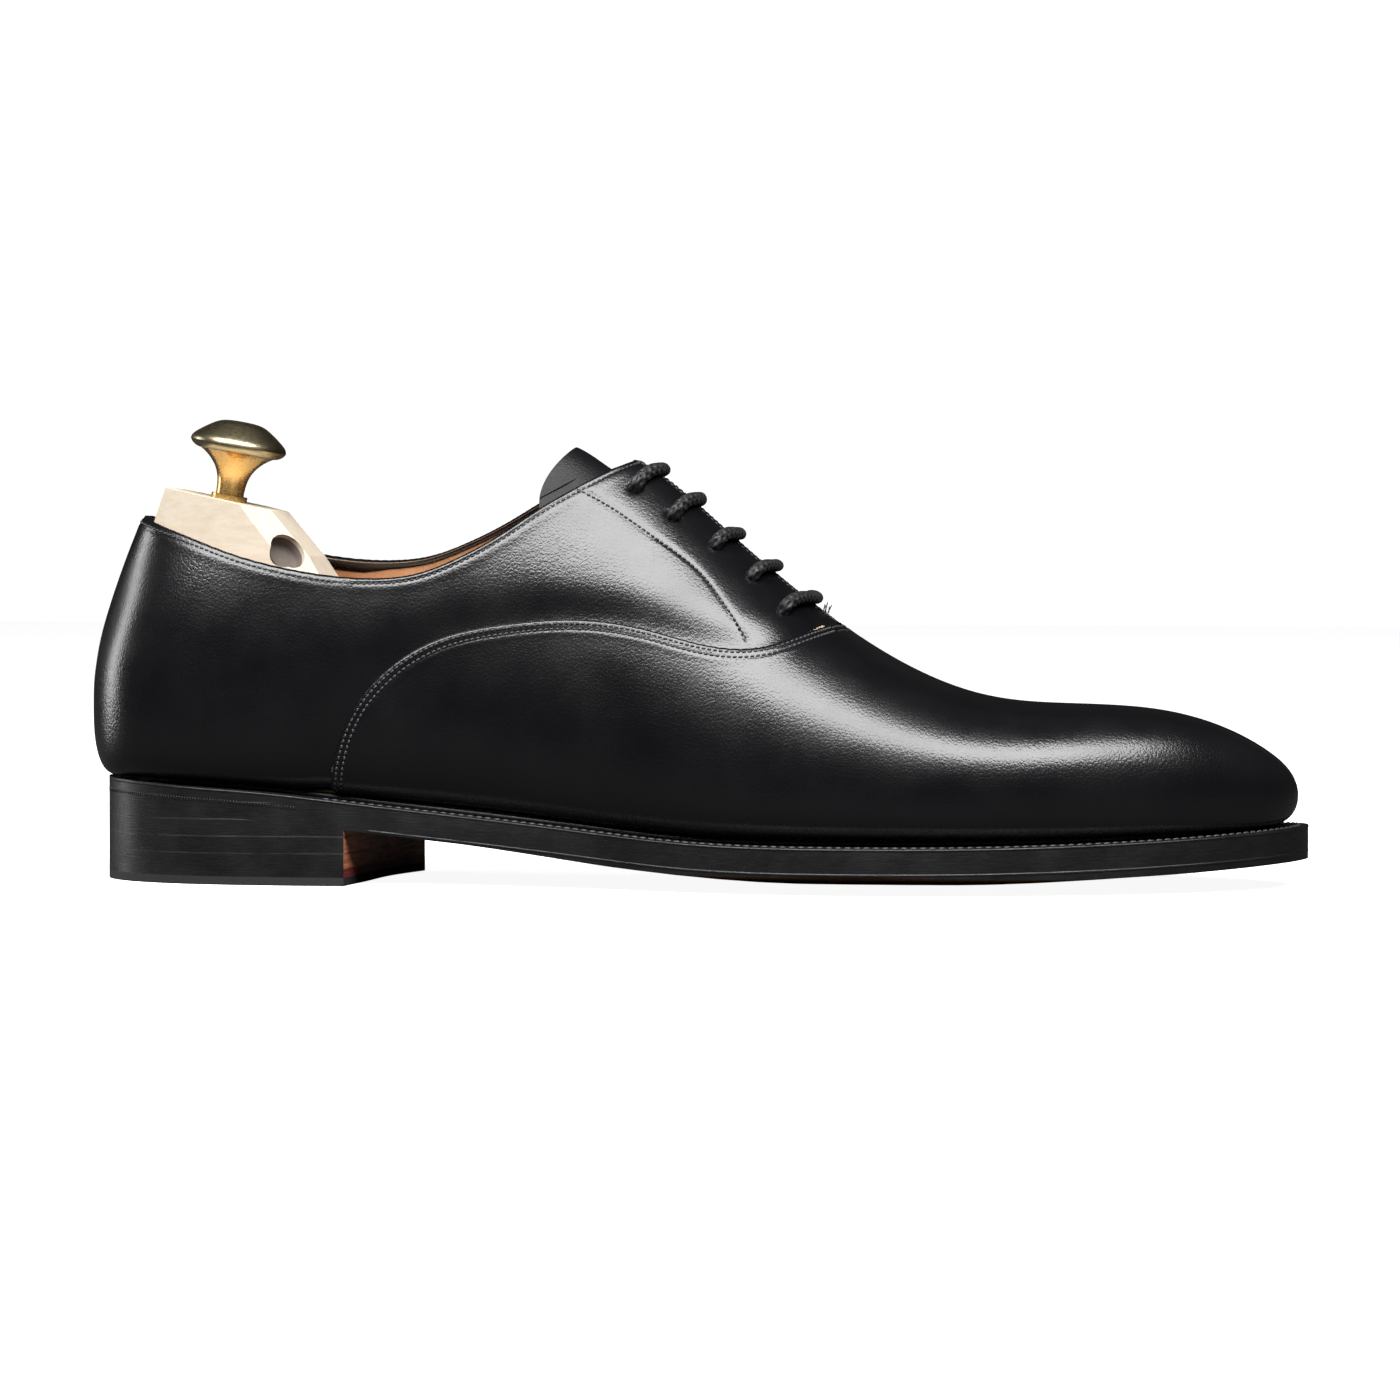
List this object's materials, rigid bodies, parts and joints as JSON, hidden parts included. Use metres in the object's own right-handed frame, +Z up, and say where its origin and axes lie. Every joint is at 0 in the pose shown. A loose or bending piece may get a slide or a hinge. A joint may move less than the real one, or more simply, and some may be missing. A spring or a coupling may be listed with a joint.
{
  "type": "leather oxford shoe",
  "caption": "Black leather oxford shoe on a welted sole and stacked heel, laced straight, holding a hinged wooden shoe tree with a brass knob.",
  "frame": {"origin": "middle of the bounding box in plan, at the underside of the heel", "axes": "+X heel to toe, -Y the outer (lateral) side of a right shoe, +Z up"},
  "size_m": [0.3111, 0.1025, 0.1177],
  "materials": {
    "calf_leather": "polished full-grain calf",
    "lining_leather": "natural tan lining",
    "sole_leather": "vegetable-tanned, edges inked black",
    "edge_leather": "inked and waxed",
    "stack_leather": "inked and waxed stack",
    "stiffener": "split leather board",
    "cork": "granulated cork",
    "rubber": "matte",
    "steel": "zinc plated",
    "brass": "satin lacquered",
    "lace_cotton": "waxed round braid",
    "aglet_plastic": "gloss",
    "tree_wood": "sanded pale lime wood"
  },
  "bodies": {
    "shoe": {"vamp": "calf_leather", "quarter_lateral": "calf_leather", "quarter_medial": "calf_leather", "back_strip": "calf_leather", "tongue": "calf_leather", "vamp_lining": "lining_leather", "quarter_lining_lateral": "lining_leather", "quarter_lining_medial": "lining_leather", "sock_liner": "lining_leather", "insole": "sole_leather", "toe_puff": "stiffener", "heel_counter": "stiffener", "vamp_backer": "stiffener", "quarter_backers": "stiffener", "cork_filler": "cork", "shank": "steel", "welt": "edge_leather", "heel_seat_rand": "edge_leather", "outsole": "sole_leather", "heel_wedge": "stack_leather", "heel_lift_upper": "stack_leather", "heel_lift_lower": "stack_leather", "top_piece_leather": "stack_leather", "top_piece_rubber": "rubber", "heel_nails": "steel", "top_piece_nails": "brass", "blind_eyelets": "steel", "lace": "lace_cotton", "aglets": "aglet_plastic", "tree_forepart": "tree_wood", "tree_hinge_plate": "steel", "tree_plate_pins": "steel"},
    "tree_heel": {"tree_heel_block": "tree_wood", "tree_pivot_pin": "steel", "tree_knob_stud": "steel", "tree_knob_collar": "brass", "tree_knob_stem": "brass", "tree_knob_cap": "brass"}
  },
  "joints": [
    {"name": "tree_hinge", "type": "hinge", "parent": "shoe", "child": "tree_heel", "pos_m": [-0.01546, -0.00076, 0.05], "axis": [0, 1, 0], "range_deg": [0, 40]}
  ]
}
